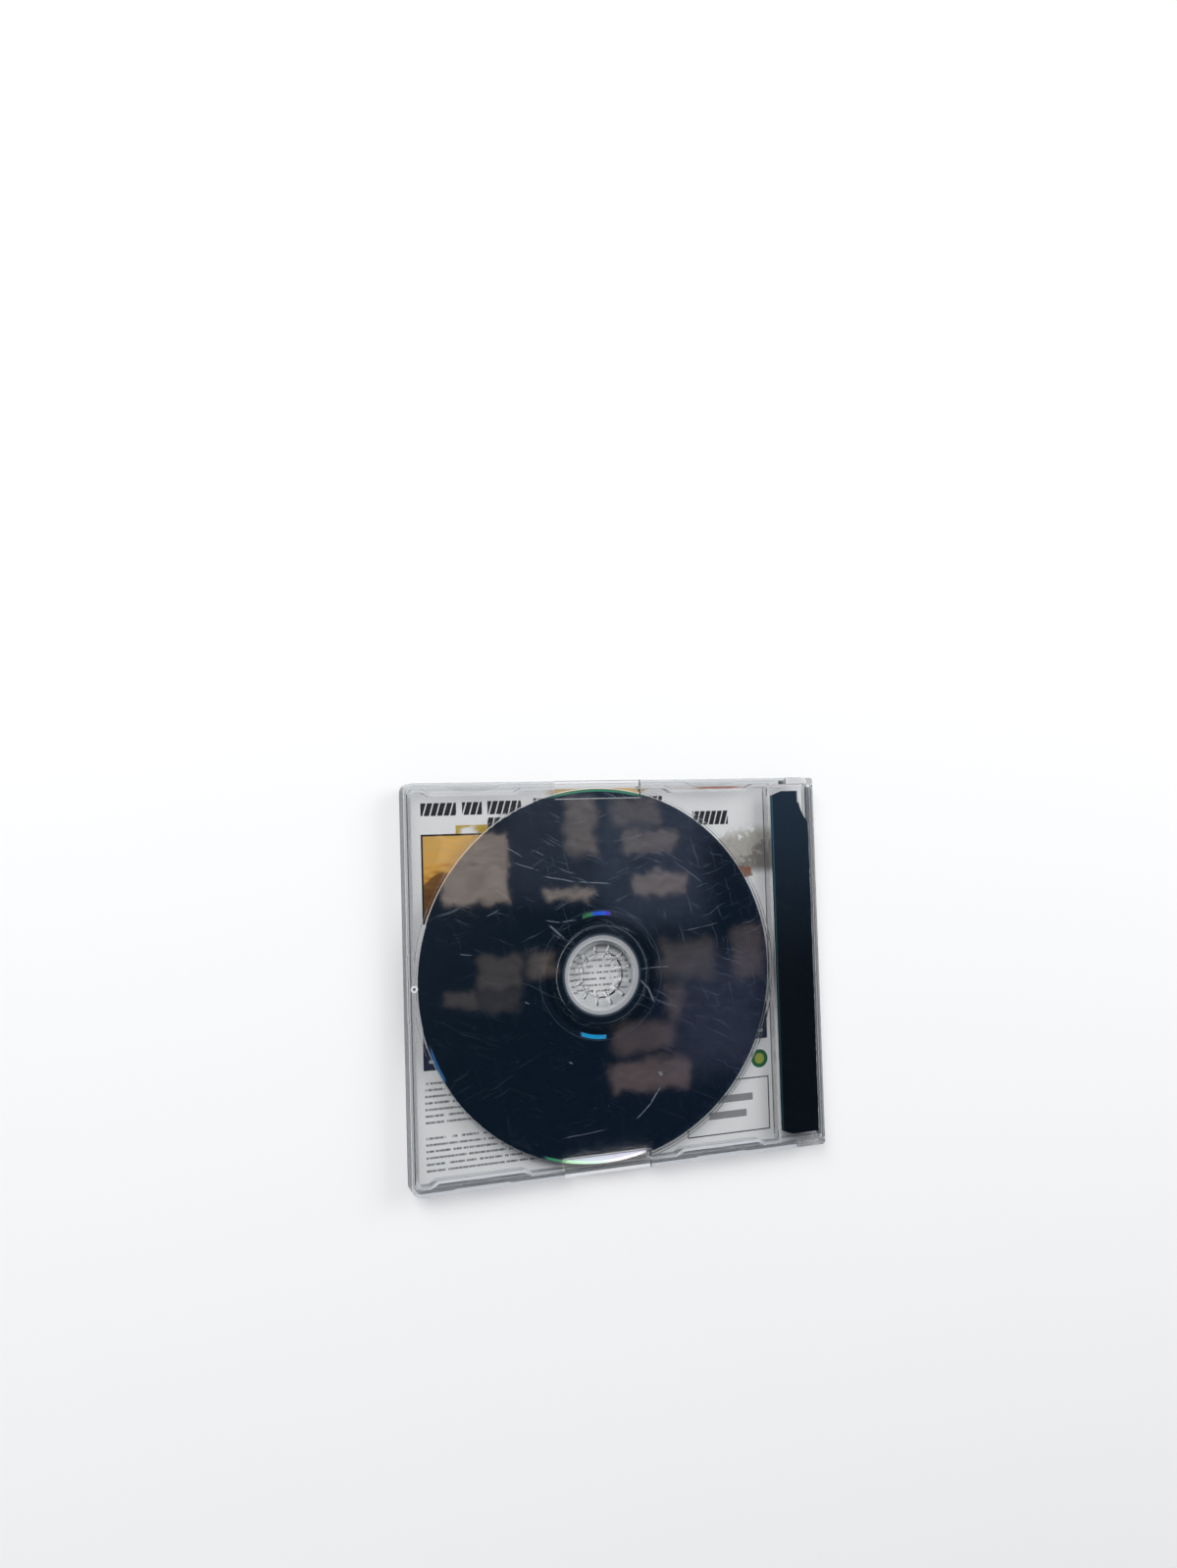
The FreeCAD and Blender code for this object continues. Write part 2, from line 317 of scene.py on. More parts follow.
def disc_mesh():
    rings = [
        (bore_radius, disc_under + edge_break),
        (bore_radius, disc_top - edge_break),
        (bore_radius + edge_break, disc_top),
        (mirror_start, disc_top),
        (ring_inner, disc_top),
        (ring_inner + edge_break, disc_top + ring_rise),
        (ring_outer - edge_break, disc_top + ring_rise),
        (ring_outer, disc_top),
        (mirror_loops[0], disc_top),
        (mirror_loops[1], disc_top),
        (mirror_end, disc_top),
        (rim_radius - edge_break, disc_top),
        (rim_radius, disc_top - edge_break),
        (rim_radius, disc_under + edge_break),
        (rim_radius - edge_break, disc_under),
        (label_end, disc_under),
        (label_loops[0], disc_under),
        (label_loops[1], disc_under),
        (label_start, disc_under),
        (bore_radius + edge_break, disc_under),
    ]
    mesh = bmesh.new()
    corners = [mesh.verts.new((disc_x + radius, 0, height)) for radius, height in rings]
    profile = [
        mesh.edges.new((corner, corners[(index + 1) % len(corners)]))
        for index, corner in enumerate(corners)
    ]
    bmesh.ops.spin(
        mesh,
        geom=corners + profile,
        cent=(disc_x, 0, 0),
        axis=(0, 0, 1),
        angle=math.tau,
        steps=disc_steps,
        use_merge=True,
    )
    bmesh.ops.remove_doubles(mesh, verts=mesh.verts, dist=1e-7)
    bmesh.ops.recalc_face_normals(mesh, faces=mesh.faces)
    finishes = ["clear", "mirror", "label"]
    for face in mesh.faces:
        middle = face.calc_center_median()
        radius = math.hypot(middle.x - disc_x, middle.y)
        upper = middle.z > disc_top - edge_break / 3
        lower = middle.z < disc_under + edge_break / 3
        finish = "clear"
        if upper and mirror_start < radius < mirror_end:
            finish = "mirror"
        if lower and label_start < radius < label_end:
            finish = "label"
        face.material_index = finishes.index(finish)
        face.smooth = False
    return mesh


def add_piece(name, mesh, materials):
    data = bpy.data.meshes.new(name)
    mesh.to_mesh(data)
    mesh.free()
    for material in materials:
        data.materials.append(material)
    piece = bpy.data.objects.new(name, data)
    bpy.context.collection.objects.link(piece)
    return piece


def in_millimetres(place):
    return part_of(place, "X") * 1000, part_of(place, "Y") * 1000


def distance(x, y):
    return x.node("Math", {"operation": "SQRT"}, {0: x * x + y * y})


def scratch(place, start, end, width):
    """A mark of one width along the straight line between two points, in millimetres."""
    run = (end[0] - start[0], end[1] - start[1])
    squared = run[0] ** 2 + run[1] ** 2
    from_start = place.node(
        "VectorMath",
        {"operation": "SUBTRACT"},
        {0: place, 1: (start[0] / 1000, start[1] / 1000, 0)},
    )
    x, y = in_millimetres(from_start)
    along = (x * run[0] + y * run[1]) / squared
    aside = size_of((y * run[0] - x * run[1]) / math.sqrt(squared))
    taper = soft_step(along, 0.0, 0.25) * soft_step(1 - along, 0.0, 0.25)
    return taper * soft_step(width - aside, 0.0, width)


def mirror_layer():
    material, wire = new_material("disc_mirror")
    place = wire.node("TexCoord", output="Object")
    centred = wire.node(
        "VectorMath", {"operation": "SUBTRACT"}, {0: place, 1: (disc_x, 0, 0)}
    )
    x, y = in_millimetres(centred)
    radius = distance(x, y)

    def band(low, high, soft):
        return span(radius, low - soft, low + soft, high - soft, high + soft)

    navy = (0.100, 0.165, 0.245, 1)
    violet = (0.132, 0.160, 0.275, 1)
    inner_zone = (0.17, 0.21, 0.26, 1)
    ring_zone = (0.04, 0.06, 0.09, 1)
    lead_zone = (0.20, 0.24, 0.31, 1)
    cyan_glint = (0.015, 0.36, 0.72, 1)
    green_glint = (0.05, 0.42, 0.16, 1)
    scratch_grey = (0.36, 0.39, 0.43, 1)
    drift = noise_at(place, 14.0, 1.0)
    colour = paint(soft_step(drift + 0.006 * x - 0.004 * y, 0.35, 0.85), navy, violet)
    colour = paint(band(12.6, 15.7, 0.1) * 0.8, colour, inner_zone)
    colour = paint(band(15.7, 18.9, 0.15) * 0.7, colour, ring_zone)
    colour = paint(band(19.0, 20.5, 0.12) * 0.6, colour, lead_zone)
    halo = 1 - soft_step(radius, 12.6, 13.7)
    # Painted highlight: the line at the stacking ring's foot is whitened on its upper side only.
    ring_line_highlight = band(15.7, 15.95, 0.12) * soft_step(y + 0.4 * x, 2.0, 12.0)
    outer_line = band(20.7, 20.85, 0.1) * 0.35

    # Painted glints: fixed rainbow arcs on the lead-in ring and along the rim stand in for the
    # diffraction glints the lamps raise. The arc at the foot of the rim is a pale painted sheen.
    glint = [
        (0.00, (0.03, 0.16, 0.05, 1)),
        (0.30, (0.05, 0.24, 0.10, 1)),
        (0.42, (0.03, 0.09, 0.78, 1)),
        (0.70, (0.02, 0.16, 0.85, 1)),
        (0.85, (0.08, 0.04, 0.75, 1)),
        (1.00, (0.10, 0.03, 0.50, 1)),
    ]
    upper_glint = wire.node("ValToRGB", {"stops": glint}, {0: (x + 6.0) / 10.0})
    lead_ring = band(19.1, 20.4, 0.12)
    upper_arc_glint = lead_ring * soft_step(y, 0, 5) * span(x, -6.2, -5.6, 2.6, 4.4)
    lower_arc_glint = lead_ring * soft_step(0 - y, 0, 5) * span(x, -8.0, -7.0, 0.6, 1.2)
    rim_glint = [
        (0.00, (0.02, 0.16, 0.45, 1)),
        (0.30, (0.05, 0.42, 0.80, 1)),
        (0.60, (0.04, 0.50, 0.14, 1)),
        (0.90, (0.35, 0.60, 0.62, 1)),
        (1.00, (0.60, 0.62, 0.80, 1)),
    ]
    lower_rim_glint = wire.node("ValToRGB", {"stops": rim_glint}, {0: (x + 54.0) / 58.0})
    on_rim = band(58.9, 59.7, 0.2)
    left_arc = span(x, -57.0, -55.5, -52.4, -51.4) * soft_step(0 - y, 16, 20)
    foot_arc = span(x, -22.0, -19.0, 8.0, 14.0) * soft_step(0 - y, 50, 54)
    lower_edge_glint = on_rim * larger(0.8 * left_arc, 0.8 * foot_arc)
    upper_edge_glint = 0.6 * on_rim * soft_step(y, 56.5, 58.0)
    painted_glints = larger(upper_arc_glint, lower_arc_glint, lower_edge_glint, upper_edge_glint)
    colour = paint(upper_arc_glint, colour, upper_glint)
    colour = paint(lower_arc_glint, colour, cyan_glint)
    colour = paint(lower_edge_glint, colour, lower_rim_glint)
    colour = paint(upper_edge_glint, colour, green_glint)

    marks = [
        ((-27.6, 32.7), (-15.0, 29.9), 0.34),
        ((-16.0, 30.1), (-3.0, 29.3), 0.30),
        ((-40.0, 43.0), (-33.0, 38.5), 0.22),
        ((-37.0, 37.4), (-27.0, 34.0), 0.22),
        ((-31.0, 41.0), (-25.5, 38.6), 0.18),
        ((-44.0, 30.0), (-38.0, 26.0), 0.18),
        ((-26.6, 18.3), (-21.0, 17.4), 0.24),
        ((-21.6, 17.5), (-15.6, 18.0), 0.24),
        ((-25.6, 17.2), (-19.6, 11.9), 0.52),
        ((4.0, 0.8), (17.4, 1.2), 0.24),
        ((5.0, -2.4), (8.8, -6.6), 0.36),
        ((7.6, -4.4), (10.6, -10.8), 0.55),
        ((11.8, -37.2), (7.6, -43.2), 0.46),
        ((8.8, -42.2), (2.3, -47.4), 0.40),
        ((11.0, -32.2), (12.2, -34.0), 1.0),
        ((-54.8, 9.7), (-50.2, 9.3), 0.22),
        ((-33.8, -6.7), (-32.0, -7.5), 0.30),
        ((-19.8, -26.7), (-18.4, -27.5), 0.40),
        ((-46.0, 20.5), (-41.0, 22.5), 0.18),
        ((20.0, 12.4), (35.0, 14.6), 0.16),
        ((-24.0, -50.8), (-6.0, -48.6), 0.14),
        ((18.0, 36.0), (30.0, 27.0), 0.14),
    ]
    worn = noise_at(place, 700.0, 2.0)
    clusters = noise_at(place, 85.0, 2.0)
    swirl = noise_at(place, 60.0, 2.0, "Color")
    curved = wire.node(
        "VectorMath", {"operation": "MULTIPLY_ADD"}, {0: swirl, 1: (0.006, 0.006, 0), 2: place}
    )
    slight = wire.node(
        "VectorMath", {"operation": "MULTIPLY_ADD"}, {0: swirl, 1: (0.002, 0.002, 0), 2: place}
    )
    slight = wire.node("VectorMath", {"operation": "SUBTRACT"}, {0: slight, 1: (0.001, 0.001, 0)})
    scratches = larger(
        hairlines(curved, 0.4, 0.013, 0.00055, 0.36) * soft_step(clusters, 0.45, 0.60),
        hairlines(curved, -0.35, 0.016, 0.00055, 0.35) * soft_step(1 - clusters, 0.45, 0.60),
        0.6 * hairlines(curved, 1.3, 0.012, 0.00050, 0.33),
    )
    scratches = scratches * (0.10 + 0.24 * soft_step(y + 0.4 * x, -30.0, 25.0))
    for start, end, width in marks:
        scratches = larger(scratches, 0.75 * scratch(slight, start, end, width))
    scratches = scratches * soft_step(worn, 0.15, 0.50)
    dust = noise_at(place, 1100.0, 0.0)
    specks = 0.18 * soft_step(dust, 0.83, 0.87)
    # Marks: scratches and dust, the mirror's grey edge lines, and the painted ring highlight.
    marks_and_ring_highlight = larger(scratches, specks, 0.55 * ring_line_highlight + outer_line + 0.45 * halo)
    # Where glints are painted, the mirror is not metallic, so the lamps light them like paint.
    mirror = wire.node(
        "BsdfPrincipled",
        {},
        {
            "Base Color": paint(marks_and_ring_highlight, colour, scratch_grey),
            "Metallic": 1 - larger(0.85 * marks_and_ring_highlight, painted_glints),
            "Roughness": 0.024 + 0.30 * marks_and_ring_highlight,
            "Coat Weight": 1.0,
            "Coat Roughness": 0.03,
            "Coat IOR": disc_refraction,
        },
    )
    wire.node("OutputMaterial", {}, {"Surface": mirror})
    return material


def clear_polycarbonate():
    material, wire = new_material("disc_polycarbonate")
    tint = (0.955, 0.960, 0.965, 1)
    highlight_white = (0.82, 0.83, 0.84, 1)
    place = wire.node("TexCoord", output="Object")
    haze = noise_at(place, 150.0, 3.0)
    centred = wire.node(
        "VectorMath", {"operation": "SUBTRACT"}, {0: place, 1: (disc_x, 0, disc_top)}
    )
    flat = wire.node("VectorMath", {"operation": "MULTIPLY"}, {0: centred, 1: (1000, 1000, 0)})
    radius = wire.node("VectorMath", {"operation": "LENGTH"}, {0: flat}, "Value")
    plastic = wire.node(
        "BsdfPrincipled",
        {},
        {
            "Base Color": tint,
            "Roughness": 0.01 + 0.04 * haze,
            "IOR": disc_refraction,
            "Transmission Weight": 1.0,
        },
    )
    # Painted highlight: the clear ring round the bore and the disc's outer edge are made white
    # and diffuse, so they read as brightly lit.
    white_highlight_scatter = wire.node("BsdfDiffuse", {}, {"Color": highlight_white})
    bore_ring_highlight = span(radius, 10.6, 11.4, 13.0, 14.0)
    rim_edge_highlight = soft_step(radius, 59.8, 59.95)
    painted_highlight_share = larger(0.45 * bore_ring_highlight, 0.6 * rim_edge_highlight)
    let_light_in(wire.node("MixShader", {}, {0: painted_highlight_share, 1: plastic, 2: white_highlight_scatter}), tint)
    return material


def label_print():
    material, wire = new_material("disc_label")
    place = wire.node("TexCoord", output="Object")
    centred = wire.node(
        "VectorMath", {"operation": "SUBTRACT"}, {0: place, 1: (disc_x, 0, 0)}
    )
    x, y = in_millimetres(centred)
    radius = distance(x, y)
    grain = noise_at(place, 2600.0, 1.0)
    dark_silver = (0.50, 0.52, 0.54, 1)
    pale_silver = (0.60, 0.61, 0.62, 1)
    hub_silver = (0.42, 0.43, 0.45, 1)
    label_navy = (0.030, 0.050, 0.105, 1)
    label_orange = (0.62, 0.20, 0.03, 1)
    line_grey = (0.08, 0.09, 0.11, 1)
    silver = paint(grain, dark_silver, pale_silver)
    slope = y + 0.35 * x
    colour = paint(soft_step(slope, -14.2, -14.0), label_navy, silver)
    band = span(slope, -18.2, -18.0, -15.2, -15.0)
    colour = paint(band, colour, label_orange)
    inner = 1 - soft_step(radius, 22.0, 22.2)
    colour = paint(inner, colour, hub_silver)
    line = span(radius, 56.8, 56.9, 57.2, 57.3)
    colour = paint(line, colour, line_grey)
    label = wire.node(
        "BsdfPrincipled",
        {},
        {"Base Color": colour, "Metallic": 0.6 * inner, "Roughness": 0.42 - 0.15 * grain},
    )
    wire.node("OutputMaterial", {}, {"Surface": label})
    return material


disc = add_piece("disc_body", disc_mesh(), [clear_polycarbonate(), mirror_layer(), label_print()])
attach(disc, "disc")
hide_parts("disc")


# Insert card, front panel: one sheet of coated card printed on both sides, tucked under
# the lid's four tabs. Its hinge end bends over the foot of the spine wall as the case
# opens; here that end is only cut into narrow strips, and the panel is not blended from
# the lid to the tray.
card_left = -0.0678
card_right = 0.06935
half_card = 0.060
card_under = 0.00123
card_face = 0.00146
bend_start = 0.062
bend_steps = 24

panel_mesh = bmesh.new()
bmesh.ops.create_cube(panel_mesh, size=1.0)
panel_size = Vector((card_right - card_left, 2 * half_card, card_face - card_under))
panel_middle = Vector(((card_left + card_right) / 2, 0, (card_face + card_under) / 2))
bmesh.ops.scale(panel_mesh, vec=panel_size, verts=panel_mesh.verts)
bmesh.ops.translate(panel_mesh, vec=panel_middle, verts=panel_mesh.verts)
for step in range(bend_steps):
    cut = bend_start + (card_right - bend_start) * step / bend_steps
    bmesh.ops.bisect_plane(
        panel_mesh,
        geom=panel_mesh.verts[:] + panel_mesh.edges[:] + panel_mesh.faces[:],
        plane_co=(cut, 0, 0),
        plane_no=(1, 0, 0),
        dist=1e-7,
    )
for face in panel_mesh.faces:
    face.normal_update()
    face.material_index = 0 if face.normal.z > 0.5 else 1 if face.normal.z < -0.5 else 2


def paper_tone(place, pale, shaded):
    """Coated card that has yellowed and greyed a little unevenly."""
    cloud = noise_at(place, 22.0, 3.0)
    return paint(soft_step(cloud, 0.3, 0.75), pale, shaded)


def card_finish(wire, colour, rough):
    fibre = wire.node("TexCoord", output="Object")
    grain = noise_at(fibre, 1800.0, 2.0)
    bump = wire.node("Bump", {}, {"Height": grain, "Strength": 0.05, "Distance": 0.0001})
    card = wire.node(
        "BsdfPrincipled",
        {},
        {"Base Color": colour, "Roughness": rough + 0.08 * grain, "Normal": bump},
    )
    wire.node("OutputMaterial", {}, {"Surface": card})


def inside_print():
    material, wire = new_material("card_inside_print")
    place = wire.node("TexCoord", output="Object")
    x, y = in_millimetres(place)

    def block(left, right, low, high):
        return (x > left) * (x < right) * (y > low) * (y < high)

    def broken_rows(left, right, low, high, rows, strength):
        """Rows of plain bars with uneven gaps."""
        bars_per_millimetre = 0.60
        row = (y - low) * (rows / (high - low))
        index = wire.node("Math", {"operation": "FLOOR"}, {0: row})
        part = row - index
        spot = wire.node("CombineXYZ", {}, {0: x * bars_per_millimetre, 1: index * 7.3})
        gaps = noise_at(spot, 1.0, 1.5)
        shapes = noise_at(spot, 3.7, 1.0)
        bars = span(part, 0.28, 0.38, 0.62, 0.72)
        return (
            block(left, right, low, high)
            * bars
            * soft_step(gaps, 0.38, 0.44)
            * (0.35 + 0.65 * soft_step(shapes, 0.40, 0.55))
            * strength
        )

    ink = (0.022, 0.022, 0.024, 1)
    border_black = (0.02, 0.02, 0.02, 1)
    hill_brown = (0.13, 0.055, 0.018, 1)
    fog_dark = (0.24, 0.22, 0.19, 1)
    fog_pale = (0.56, 0.53, 0.47, 1)
    shade_grey = (0.13, 0.12, 0.11, 1)
    rust_dark = (0.10, 0.025, 0.012, 1)
    rust_pale = (0.42, 0.17, 0.08, 1)
    ochre = (0.55, 0.38, 0.06, 1)
    band_navy = (0.020, 0.026, 0.060, 1)
    band_line = (0.45, 0.47, 0.50, 1)
    row_grey = (0.10, 0.10, 0.11, 1)
    frame_line = (0.06, 0.06, 0.06, 1)
    bar_grey = (0.14, 0.14, 0.15, 1)
    spot_green = (0.02, 0.13, 0.045, 1)
    spot_yellow = (0.33, 0.38, 0.07, 1)
    shade_lift_white = (0.95, 0.95, 0.95, 1)
    paper_white = (0.88, 0.88, 0.87, 1)
    paper_shade = (0.81, 0.81, 0.805, 1)
    colour = paper_tone(place, paper_white, paper_shade)

    gold = [
        (0.00, (0.24, 0.09, 0.012, 1)),
        (0.35, (0.52, 0.23, 0.03, 1)),
        (0.70, (0.74, 0.40, 0.08, 1)),
        (1.00, (0.66, 0.40, 0.11, 1)),
    ]
    rise = soft_step(y, 19.0, 46.5)
    streak = noise_at(place, 70.0, 4.0)
    slanted = wire.node("Mapping", {}, {0: place, 2: (0, 0, 0.7), 3: (160.0, 900.0, 1.0)})
    wash = noise_at(slanted, 1.0, 4.0)
    field = wire.node("ValToRGB", {"stops": gold}, {0: rise + 1.5 * wash - 0.75})
    swell = wire.node("Math", {"operation": "SINE"}, {0: x * 0.30})
    hill = soft_step(30.0 + 2.4 * swell + 5.0 * streak - y, 0.0, 0.8)
    field = paint(hill * 0.8, field, hill_brown)
    colour = paint(block(-64.9, 4.0, 18.9, 46.6), colour, border_black)
    colour = paint(block(-64.3, 3.4, 19.5, 46.0), colour, field)

    mist = noise_at(place, 130.0, 6.0)
    grit = noise_at(place, 520.0, 5.0)
    ridge = 16 * mist + 7 * grit + 0.50 * x - 0.45 * y
    fog = (x > 26.0) * soft_step(y + 4 * mist, 31.0, 35.0)
    fog = fog * (1 - soft_step(y + 6 * mist, 45.0, 51.0)) * soft_step(ridge, 12.5, 14.5)
    colour = paint(fog * 0.9, colour, paint(grit, fog_dark, fog_pale))
    shade = fog * soft_step(ridge, 18.5, 20.5)
    colour = paint(shade * 0.7, colour, shade_grey)
    from_rust = distance((x - 45.0) / 4.0, (y - 31.0) / math.sqrt(5.0))
    rust = 1 - soft_step(from_rust + 1.4 * mist + 1.0 * grit, 1.95, 2.25)
    colour = paint(rust * 0.9, colour, paint(grit, rust_dark, rust_pale))
    wisp = block(-53.8, -43.0, 46.6, 49.2) * soft_step(mist, 0.40, 0.55)
    colour = paint(wisp, colour, ochre)

    slant = (x - 0.30 * y) / 2.1
    hatch = slant - wire.node("Math", {"operation": "FLOOR"}, {0: slant})
    hatch = span(hatch, 0.10, 0.16, 0.90, 0.96)
    for left, right, low, high in (
        (-64.8, -53.5, 52.3, 56.3),
        (-51.6, -45.2, 52.4, 56.4),
        (-43.4, -32.4, 52.4, 56.6),
        (-43.5, -34.0, 46.9, 51.4),
        (-28.3, -20.4, 53.6, 57.2),
        (9.4, 16.4, 53.6, 57.2),
        (27.4, 40.6, 47.2, 51.8),
    ):
        colour = paint(block(left, right, low, high) * hatch, colour, ink)

    colour = paint(block(-65.7, 52.7, -25.8, -13.2), colour, band_navy)
    colour = paint(block(-64.0, 51.0, -23.6, -22.6), colour, band_line)
    for left, right, low, high, rows, strength in (
        (-65.4, 14.0, -42.6, -28.7, 7, 0.95),
        (-65.4, 14.0, -57.2, -45.4, 6, 0.95),
        (-24.0, 4.0, -6.6, 7.4, 7, 0.85),
    ):
        bars = broken_rows(left, right, low, high, rows, strength)
        colour = paint(bars, colour, row_grey)
    frame_box = block(22.0, 52.7, -56.4, -38.5) - block(22.4, 52.3, -56.0, -38.9)
    colour = paint(frame_box, colour, frame_line)
    for left, right, low, high in ((26.5, 46.5, -46.0, -43.6), (30.0, 44.0, -51.2, -48.8)):
        colour = paint(block(left, right, low, high) * 0.8, colour, bar_grey)
    from_spot = distance(x - 49.5, y + 32.5)
    colour = paint(1 - soft_step(from_spot, 3.0, 3.15), colour, spot_green)
    colour = paint(1 - soft_step(from_spot, 1.7, 1.85), colour, spot_yellow)

    tans = [
        (0.0, (0.40, 0.26, 0.10, 1)),
        (0.4, (0.62, 0.40, 0.10, 1)),
        (0.6, (0.50, 0.36, 0.20, 1)),
        (1.0, (0.42, 0.12, 0.07, 1)),
    ]
    trim = wire.node("ValToRGB", {"stops": tans}, {0: soft_step(x, -30.0, 46.0)})
    top_edge = soft_step(y + 1.2 * mist - 1.1 * soft_step(x, 8.0, 12.0), 58.6, 58.9)
    top_edge = top_edge * soft_step(x, -26.0, -20.0)
    top_edge = top_edge * (1 - 0.75 * span(x, 9.0, 13.0, 26.0, 32.0))
    top_edge = top_edge * (1 - 0.7 * soft_step(x, 42.0, 48.0))
    colour = paint(top_edge * 0.85, colour, trim)
    # Painted light: the strip by the hinge end, seen through the flap's worn corner, is painted
    # whiter to lift it out of the shade under the tray.
    colour = paint(soft_step(x, 63.0, 64.0), colour, shade_lift_white)
    card_finish(wire, colour, 0.38)
    return material


def cover_print():
    material, wire = new_material("card_cover_print")
    place = wire.node("TexCoord", output="Object")
    x, y = in_millimetres(place)
    mottle = noise_at(place, 45.0, 4.0)
    cover_navy = (0.030, 0.045, 0.100, 1)
    cover_teal = (0.10, 0.22, 0.30, 1)
    cover_sand = (0.74, 0.70, 0.60, 1)
    colour = paint(soft_step(y + 24 * mottle, -50.0, 70.0), cover_navy, cover_teal)
    slope = y - 0.55 * x
    for low, high, tone in (
        (-30.0, -8.0, (0.62, 0.27, 0.04, 1)),
        (-4.0, 2.0, (0.70, 0.52, 0.20, 1)),
    ):
        stripe = span(slope, low, low + 0.4, high, high + 0.4)
        colour = paint(stripe, colour, tone)
    from_circle = distance(x - 22, y - 20)
    colour = paint(1 - soft_step(from_circle, 21.8, 22.2), colour, cover_sand)
    card_finish(wire, colour, 0.30)
    return material


def paper_edge():
    material, wire = new_material("card_edge")
    place = wire.node("TexCoord", output="Object")
    cut_white = (0.78, 0.78, 0.77, 1)
    cut_shade = (0.62, 0.61, 0.58, 1)
    card_finish(wire, paper_tone(place, cut_white, cut_shade), 0.6)
    return material


panel = add_piece("card_panel", panel_mesh, [inside_print(), cover_print(), paper_edge()])
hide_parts("insert_card")
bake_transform(panel)


# Insert card, spine and flap: the same sheet folded up inside the spine wall and back
# under the tray, printed near black and paler along its fold, and one corner has worn
# away. The tray's corner webs hold it, so it turns with the tray.
flap_left = 0.0548
flap_top = 0.00575
flap_thickness = 0.00025
half_flap = 0.0579
corner_length = 0.0040
corner_rise = 0.0015
fold_radius = 0.0004
worn_width = 0.00375
worn_height = 0.0110
worn_bow = 0.0011

flap_mesh = bmesh.new()
fold_x = card_right - fold_radius
worn_start = Vector((card_right - flap_thickness - worn_width, half_flap))
worn_end = Vector((fold_x, half_flap - worn_height))
chord = worn_end - worn_start
inward = Vector((chord.y, -chord.x)).normalized()
worn_edge = [
    worn_start + chord * share + inward * worn_bow * math.sin(math.pi * share)
    for share in (0.0, 0.15, 0.3, 0.45, 0.6, 0.75, 0.9, 1.0)
]
outline = [
    Vector((flap_left, half_flap - corner_rise)),
    Vector((flap_left, corner_rise - half_flap)),
    Vector((flap_left + corner_length, -half_flap)),
    Vector((fold_x, -half_flap)),
]
outline += reversed(worn_edge)
outline.append(Vector((flap_left + corner_length, half_flap)))
top_corners = [flap_mesh.verts.new((point.x, point.y, flap_top)) for point in outline]
flap_mesh.faces.new(top_corners)
fold_line = [
    edge
    for edge in flap_mesh.edges
    if all(abs(corner.co.x - fold_x) < 1e-7 for corner in edge.verts)
]
fold = bmesh.ops.spin(
    flap_mesh,
    geom=fold_line,
    cent=(fold_x, 0, flap_top - fold_radius),
    axis=(0, 1, 0),
    angle=math.radians(90),
    steps=6,
)
spine_edge = [item for item in fold["geom_last"] if isinstance(item, bmesh.types.BMEdge)]
spine = bmesh.ops.extrude_edge_only(flap_mesh, edges=spine_edge)
spine_foot = [item for item in spine["geom"] if isinstance(item, bmesh.types.BMVert)]
drop = flap_top - fold_radius - card_face
bmesh.ops.translate(flap_mesh, vec=(0, 0, -drop), verts=spine_foot)
bmesh.ops.recalc_face_normals(flap_mesh, faces=flap_mesh.faces)
if max(flap_mesh.faces, key=lambda face: face.calc_area()).normal.z < 0:
    bmesh.ops.reverse_faces(flap_mesh, faces=flap_mesh.faces)
bmesh.ops.solidify(flap_mesh, geom=flap_mesh.faces[:], thickness=flap_thickness)


def flap_print():
    material, wire = new_material("flap_print")
    place = wire.node("TexCoord", output="Object")
    x, y = in_millimetres(place)
    cloud = noise_at(place, 55.0, 4.0)
    tatter = noise_at(place, 420.0, 3.0)
    # Near black towards the bottom and navy towards the top.
    towards_top = soft_step(y + 14 * cloud, 0.0, 64.0)
    flap_black = (0.0012, 0.0014, 0.0024, 1)
    flap_navy = (0.013, 0.026, 0.045, 1)
    edge_teal = (0.035, 0.115, 0.145, 1)
    fold_white = (0.66, 0.67, 0.68, 1)
    torn_white = (0.74, 0.75, 0.76, 1)
    colour = paint(towards_top, flap_black, flap_navy)
    cut_edge = span(x, 54.95, 55.1, 55.4, 55.7)
    colour = paint(cut_edge * (0.35 + 0.65 * towards_top), colour, edge_teal)
    # Paler along the fold.
    fold_pale = soft_step(x + 0.7 * tatter, 69.35, 69.55)
    colour = paint(fold_pale * 0.8, colour, fold_white)
    torn = soft_step(y + 0.45 * x + 2.2 * tatter, 84.2, 84.8) * soft_step(x, 64.8, 65.4)
    colour = paint(torn, colour, torn_white)
    card_finish(wire, colour, 0.10)
    return material


flap = add_piece("card_flap", flap_mesh, [flap_print()])
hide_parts("insert_card")
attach(flap, "tray")


# Studio: a plain pale table, and a surround that is pale low down and dark above, where
# the disc mirrors it with a few soft panes. Two softboxes and a small lamp light the
# case, and the camera stands where the photograph was taken from.
table_size = 3.0
table_drop = 0.0002
table_tone = (0.90, 0.90, 0.90, 1)
backdrop_tone = (0.92, 0.92, 0.925, 1)
floor_mesh = bmesh.new()
bmesh.ops.create_grid(floor_mesh, x_segments=1, y_segments=1, size=table_size)
bmesh.ops.translate(floor_mesh, vec=(0, 0, -table_drop), verts=floor_mesh.verts)
table_material, table = new_material("table_white")
table_place = table.node("TexCoord", output="Object")
table_grain = noise_at(table_place, 30.0, 2.0)
table_paint = table.node(
    "BsdfPrincipled",
    {},
    {"Base Color": table_tone, "Roughness": 0.75 + 0.1 * table_grain},
)
table_reach = table.node("VectorMath", {"operation": "LENGTH"}, {0: table_place}, "Value")
table_seen = table.node("LightPath", output="Is Camera Ray")
for ray in ("Is Glossy Ray", "Is Transmission Ray"):
    table_seen = larger(table_seen, table.node("LightPath", output=ray))
table_far = soft_step(table_reach, 0.25, 0.9) * table_seen
